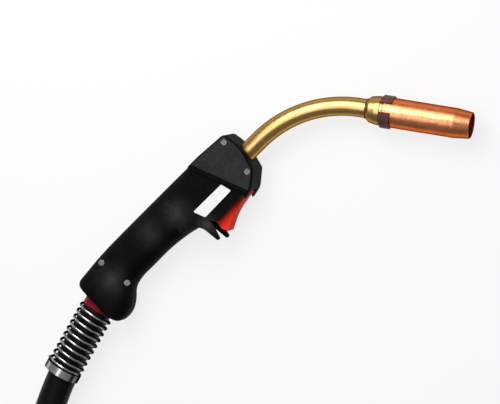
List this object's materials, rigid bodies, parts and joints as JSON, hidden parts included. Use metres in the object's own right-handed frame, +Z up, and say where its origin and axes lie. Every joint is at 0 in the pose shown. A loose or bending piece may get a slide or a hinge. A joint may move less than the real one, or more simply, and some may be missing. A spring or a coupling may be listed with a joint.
{
  "type": "mig welding torch",
  "caption": "Gas cooled MIG welding torch with curved brass neck, copper gas nozzle, moulded handle with red trigger, spring strain relief and coiled cable with central connector.",
  "frame": {"origin": "on the table under the neck axis, on the flat left side of the handle's front block, 12 mm behind the handle's front", "axes": "+X along the handle towards the neck and nozzle, +Y to the back of the handle away from the trigger, +Z up from the table on which the torch lies on its left side"},
  "size_m": [0.6857, 0.4441, 0.057],
  "materials": {
    "handle_plastic": "finely textured dark grey moulding",
    "trigger_red": "satin red",
    "label_white": "bare white plate",
    "screw_steel": "zinc plated",
    "spring_steel": "bright nickel plate",
    "neck_brass": "polished",
    "nozzle_copper": "satin copper",
    "insulator_brown": "phenolic",
    "collar_red": "dark red",
    "cable_rubber": "satin black",
    "boot_rubber": "matt black",
    "plug_plastic": "black moulding",
    "liner_steel": "coiled wire",
    "seal_rubber": "matt",
    "switch_plastic": "moulded",
    "lead_blue": "insulated wire"
  },
  "bodies": {
    "torch": {"handle_shell_left": "handle_plastic", "handle_shell_right": "handle_plastic", "handle_screws": "screw_steel", "label_plate": "label_white", "trigger_pin": "screw_steel", "switch_body": "switch_plastic", "switch_terminals": "neck_brass", "switch_leads": "lead_blue", "neck_tube": "neck_brass", "neck_insulator": "insulator_brown", "neck_core": "nozzle_copper", "wire_liner": "liner_steel", "joint_ring": "insulator_brown", "neck_collar": "neck_brass", "nozzle_insulator": "insulator_brown", "nozzle_spring": "spring_steel", "tip_holder": "neck_brass", "gas_diffuser": "insulator_brown", "contact_tip": "nozzle_copper", "neck_block": "neck_brass", "crimp_ferrule": "neck_brass", "power_cable": "cable_rubber", "rear_collar": "collar_red", "strain_spring": "spring_steel", "spring_clamp": "spring_steel", "cable_run": "cable_rubber", "cable_coil": "cable_rubber", "cable_tail": "cable_rubber", "plug_shell_upper": "plug_plastic", "plug_shell_lower": "plug_plastic", "plug_boot": "boot_rubber", "plug_screws": "screw_steel", "plug_core": "neck_brass", "plug_face": "insulator_brown", "liner_nut": "screw_steel", "plug_o_ring": "seal_rubber"},
    "trigger": {"trigger": "trigger_red"},
    "switch_plunger": {"switch_plunger": "trigger_red"},
    "nozzle": {"gas_nozzle": "nozzle_copper"},
    "coupling_nut": {"plug_nut": "plug_plastic"},
    "contact_1": {"plug_contact_1": "spring_steel"},
    "contact_2": {"plug_contact_2": "spring_steel"}
  },
  "joints": [
    {"name": "trigger_pull", "type": "hinge", "parent": "torch", "child": "trigger", "pos_m": [-0.015, -0.0266, 0.02], "axis": [0, 0, -1], "range_deg": [0, 6.5], "stiffness_Nm_per_rad": 1, "springref_deg": -8.59},
    {"name": "switch_press", "type": "slide", "parent": "torch", "child": "switch_plunger", "axis": [0, 1, 0], "range_m": [0, 0.0019]},
    {"name": "nozzle_pull", "type": "slide", "parent": "torch", "child": "nozzle", "axis": [0.6018, -0.7986, 0], "range_m": [0, 0.09]},
    {"name": "nut_turn", "type": "hinge", "parent": "torch", "child": "coupling_nut", "pos_m": [-0.04077, -0.38216, 0.023], "axis": [0.9976, 0.0698, 0], "continuous": true},
    {"name": "contact_1_press", "type": "slide", "parent": "torch", "child": "contact_1", "axis": [-0.9976, -0.0698, 0], "range_m": [0, 0.0025], "stiffness_N_per_m": 500, "springref_m": -0.002},
    {"name": "contact_2_press", "type": "slide", "parent": "torch", "child": "contact_2", "axis": [-0.9976, -0.0698, 0], "range_m": [0, 0.0025], "stiffness_N_per_m": 500, "springref_m": -0.002}
  ],
  "couplings": [
    {"joint": "switch_press", "follows": "trigger_pull", "m_per_rad": 0.016}
  ]
}
